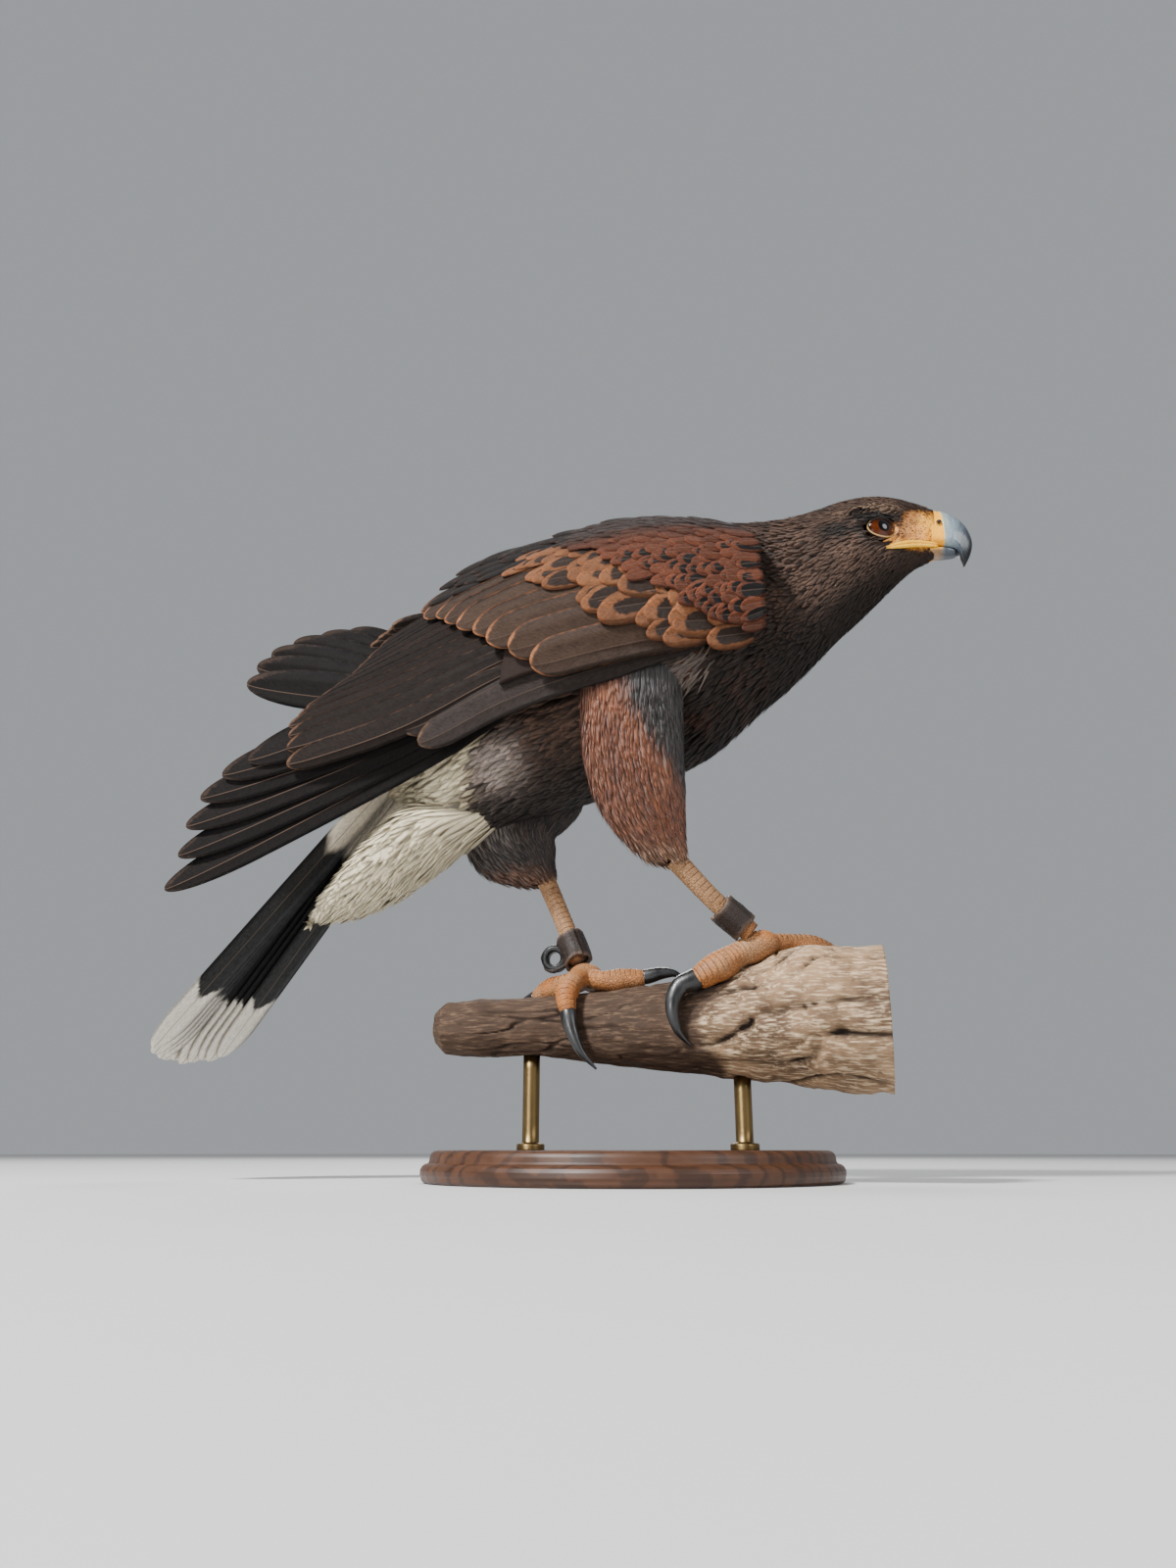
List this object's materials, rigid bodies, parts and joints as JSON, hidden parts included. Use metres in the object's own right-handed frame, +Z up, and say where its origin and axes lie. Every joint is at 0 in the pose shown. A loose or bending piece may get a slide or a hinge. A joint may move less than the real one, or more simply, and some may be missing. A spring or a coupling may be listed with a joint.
{
  "type": "harris hawk museum model",
  "caption": "Still, life-size model of a harris hawk walking forward along a cut length of branch, held on a plain display stand.",
  "frame": {"origin": "centre of the underside of the stand's base", "axes": "+X the way the bird faces, along the branch, +Y its left side, +Z up"},
  "size_m": [0.4209, 0.192, 0.3389],
  "materials": {
    "body_feather": "matte",
    "wing_covert": "matte",
    "flight_feather": "satin",
    "tail_feather": "satin",
    "cream_feather": "matte",
    "chestnut_feather": "matte",
    "eye": "polished",
    "bill": "satin",
    "leg_skin": "matte",
    "foot_skin": "matte",
    "claw": "gloss",
    "leather": "matte",
    "eyelet": "satin",
    "dead_wood": "matte",
    "stand_wood": "satin",
    "stand_metal": "satin"
  },
  "bodies": {
    "root": {"head": "body_feather", "neck": "body_feather", "torso": "body_feather", "eye_R": "eye", "eye_L": "eye", "bill_upper": "bill", "bill_lower": "bill", "tail": "tail_feather", "undertail_coverts": "cream_feather", "wing_R": "wing_covert", "wing_L": "wing_covert", "secondaries_R": "flight_feather", "secondaries_L": "flight_feather", "primaries_R": "flight_feather", "primaries_L": "flight_feather", "thigh_R": "chestnut_feather", "thigh_L": "body_feather", "tarsus_R": "leg_skin", "tarsus_L": "leg_skin", "foot_R": "foot_skin", "foot_L": "foot_skin", "anklet_R": "leather", "anklet_L": "leather", "eyelet_L": "eyelet", "perch_branch": "dead_wood", "stand_base": "stand_wood", "stand_rod_front": "stand_metal", "stand_rod_rear": "stand_metal", "claw_R_hallux": "claw", "claw_R_inner": "claw", "claw_R_middle": "claw", "claw_R_outer": "claw", "claw_L_hallux": "claw", "claw_L_inner": "claw", "claw_L_middle": "claw", "claw_L_outer": "claw"}
  },
  "joints": []
}
